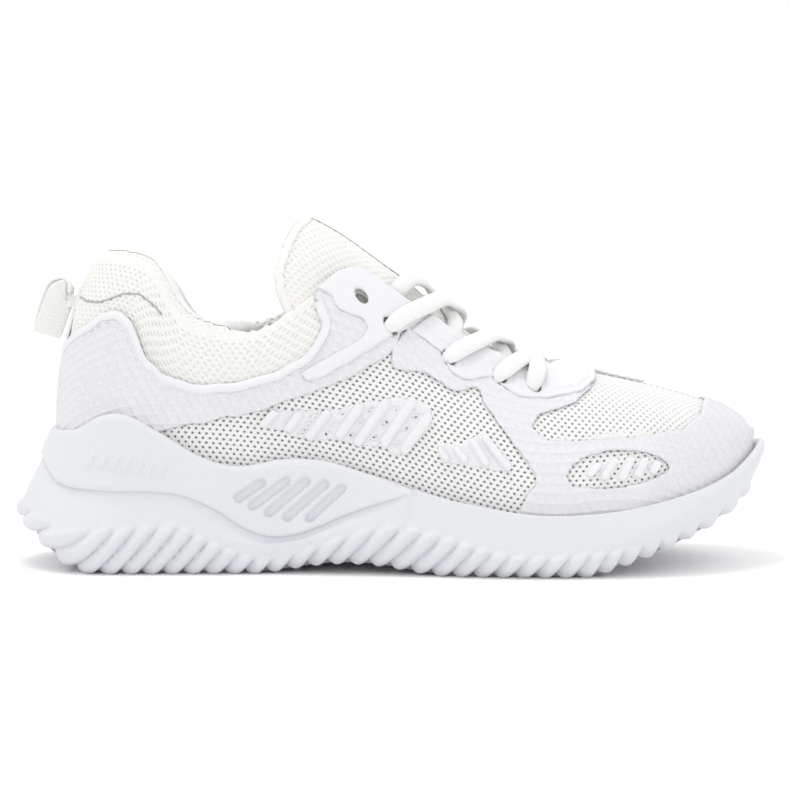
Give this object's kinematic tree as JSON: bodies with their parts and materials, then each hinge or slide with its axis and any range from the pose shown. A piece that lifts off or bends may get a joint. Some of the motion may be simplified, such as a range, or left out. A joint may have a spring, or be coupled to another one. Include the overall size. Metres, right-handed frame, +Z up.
{
  "type": "running shoe",
  "caption": "Low-cut lace-up running shoe for the right foot: knitted mesh upper, padded collar and tongue, heel pull loop and a wavy two-part foam sole with a ribbed wall.",
  "frame": {"origin": "middle of the footprint on the ground, under the shoe", "axes": "+X from heel to toe, +Z up, -Y towards the outer side of this right shoe"},
  "size_m": [0.2986, 0.1082, 0.1349],
  "materials": {
    "white_mesh": "open knitted mesh",
    "cream_mesh": "padded spacer mesh",
    "inner_fabric": "lining",
    "white_film": "embossed film, satin",
    "white_foam": "moulded foam, pebbled",
    "lace_white": "braided",
    "tape_white": "ribbed webbing"
  },
  "bodies": {
    "root": {"outsole": "white_foam", "midsole": "white_foam", "midsole_cradle": "white_foam", "strobel_board": "inner_fabric", "insole": "white_foam", "heel_counter": "inner_fabric", "toe_puff": "inner_fabric", "collar_foam": "white_foam", "lining": "inner_fabric", "collar_mesh": "cream_mesh", "vamp_mesh": "white_mesh", "quarter_mesh_lateral": "white_mesh", "quarter_mesh_medial": "white_mesh", "heel_overlay_lateral": "white_film", "heel_overlay_medial": "white_film", "eyestay_upper_lateral": "white_film", "eyestay_upper_medial": "white_film", "forefoot_overlay": "white_film", "eyestay_lower": "white_film", "collar_piping_lateral": "white_film", "collar_piping_medial": "white_film", "heel_tape": "tape_white", "tongue_base": "cream_mesh", "rear_bars_lateral": "white_film", "rear_bars_medial": "white_film", "front_bars_lateral": "white_film", "front_bars_medial": "white_film", "toe_bars_lateral": "white_film", "toe_bars_medial": "white_film", "lace": "lace_white"},
    "tongue": {"tongue_flap": "cream_mesh"},
    "pull_tab": {"pull_tab": "tape_white"}
  },
  "joints": [
    {"name": "tongue_flap_hinge", "type": "hinge", "parent": "root", "child": "tongue", "pos_m": [-0.0062, 0, 0.1212], "axis": [0, 1, 0], "range_deg": [0, 25]},
    {"name": "pull_tab_hinge", "type": "hinge", "parent": "root", "child": "pull_tab", "pos_m": [-0.128, 0, 0.1096], "axis": [0, 1, 0], "range_deg": [0, 90]}
  ]
}
